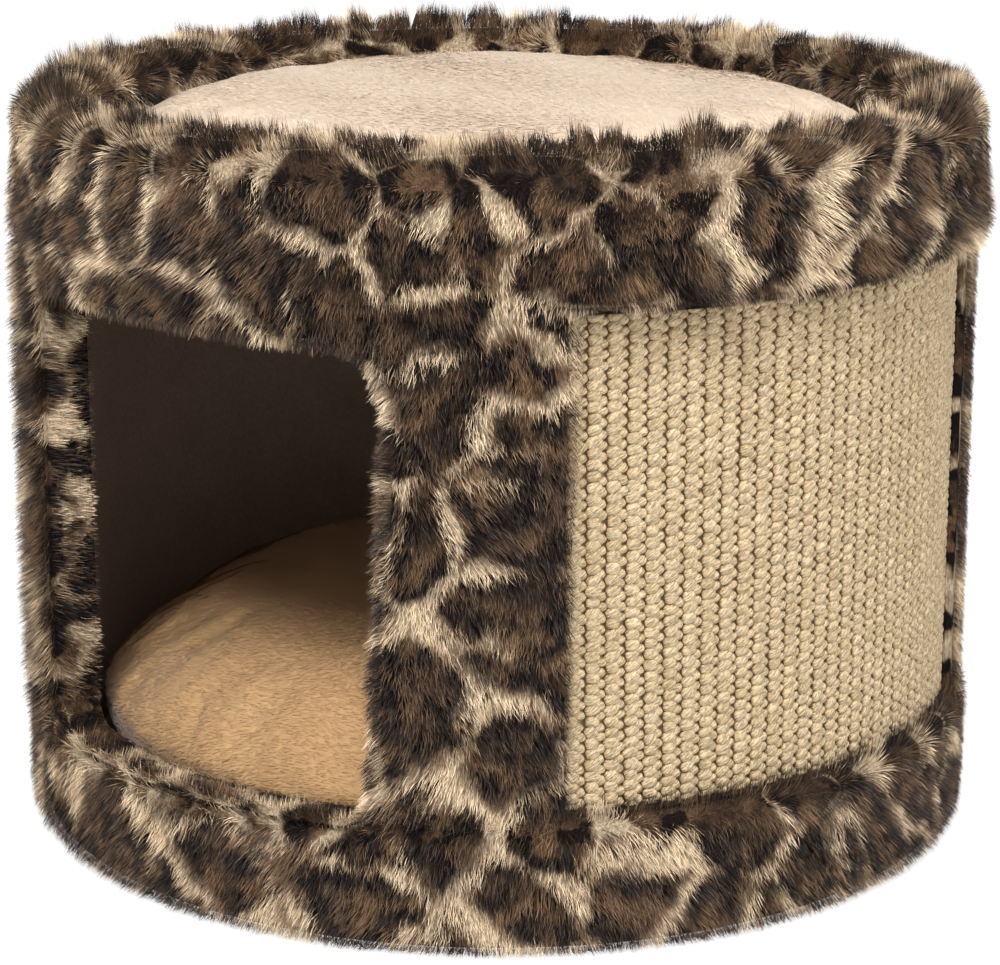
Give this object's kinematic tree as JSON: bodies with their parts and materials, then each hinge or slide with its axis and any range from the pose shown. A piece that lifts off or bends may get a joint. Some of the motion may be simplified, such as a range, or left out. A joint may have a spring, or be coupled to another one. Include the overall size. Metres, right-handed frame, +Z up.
{
  "type": "cat scratching cave",
  "caption": "Round plush-covered cat cave with a doorway, a woven sisal scratching panel and a cushioned lying tray on top.",
  "frame": {"origin": "on the floor, below the middle of the round drum", "axes": "+Z up, -Y to the front between doorway and sisal panel, +X to the right of the front, on the sisal's side"},
  "size_m": [0.424, 0.424, 0.326],
  "materials": {
    "printed_plush": "long pile plush with a brown and cream animal print",
    "sisal": "coarse woven sisal loops",
    "sisal_backing": "jute and latex backing",
    "wound_card": "raw wound cardboard",
    "fibreboard": "raw medium density fibreboard",
    "foam": "open cell foam",
    "dark_felt": "dark brown needle felt",
    "grey_felt": "grey-brown non-woven felt",
    "black_cover": "black non-woven cover",
    "beige_plush": "short pile beige plush",
    "wadding": "white polyester wadding",
    "steel": "zinc plated steel"
  },
  "bodies": {
    "drum": {"top_band_fur": "printed_plush", "base_band_fur": "printed_plush", "wall_fur": "printed_plush", "entrance_edge_fur": "printed_plush", "sisal_panel": "sisal", "sisal_backing": "sisal_backing", "shell_tube": "wound_card", "base_board": "fibreboard", "tray_board": "fibreboard", "rim_foam": "foam", "base_foam": "foam", "wall_lining": "dark_felt", "floor_lining": "dark_felt", "ceiling_lining": "dark_felt", "tray_lining": "grey_felt", "underside_cover": "black_cover", "base_screw_01": "steel", "base_screw_02": "steel", "base_screw_03": "steel", "base_screw_04": "steel", "base_screw_05": "steel", "base_screw_06": "steel", "tray_screw_01": "steel", "tray_screw_02": "steel", "tray_screw_03": "steel", "tray_screw_04": "steel", "tray_screw_05": "steel", "tray_screw_06": "steel", "hem_staple_01": "steel", "hem_staple_02": "steel", "hem_staple_03": "steel", "hem_staple_04": "steel", "hem_staple_05": "steel", "hem_staple_06": "steel", "hem_staple_07": "steel", "hem_staple_08": "steel"},
    "top_cushion": {"top_cushion_cover": "beige_plush", "top_cushion_base": "grey_felt", "top_cushion_filling": "wadding"},
    "lower_cushion": {"lower_cushion_cover": "beige_plush", "lower_cushion_base": "grey_felt", "lower_cushion_filling": "wadding"}
  },
  "joints": [
    {"name": "top_cushion_lift", "type": "slide", "parent": "drum", "child": "top_cushion", "axis": [0, 0, 1], "range_m": [0, 0.1]},
    {"name": "lower_cushion_lift", "type": "slide", "parent": "drum", "child": "lower_cushion", "axis": [0, 0, 1], "range_m": [0, 0.12]}
  ]
}
